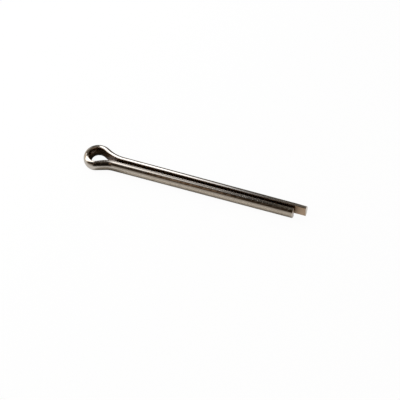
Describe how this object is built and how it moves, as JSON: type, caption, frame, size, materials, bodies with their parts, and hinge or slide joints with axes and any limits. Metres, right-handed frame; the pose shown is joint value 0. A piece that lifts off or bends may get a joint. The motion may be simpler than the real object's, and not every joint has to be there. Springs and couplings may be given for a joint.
{
  "type": "cotter pin",
  "caption": "Split pin of half-round wire folded round an open eye, with one leg longer than the other, pushed through a cross hole and spread open to lock it.",
  "frame": {"origin": "on the shank's axis, at the shoulder where the eye stops against the edge of the hole", "axes": "+X along the shank from the eye to the tips, +Y towards the longer leg, +Z along the axis of the eye"},
  "size_m": [0.048, 0.0059, 0.0028],
  "materials": {
    "wire": "drawn mild steel wire, bright and slightly warm, with fine lengthwise draw lines"
  },
  "bodies": {
    "root": {"cotter_pin": "wire"}
  },
  "joints": []
}
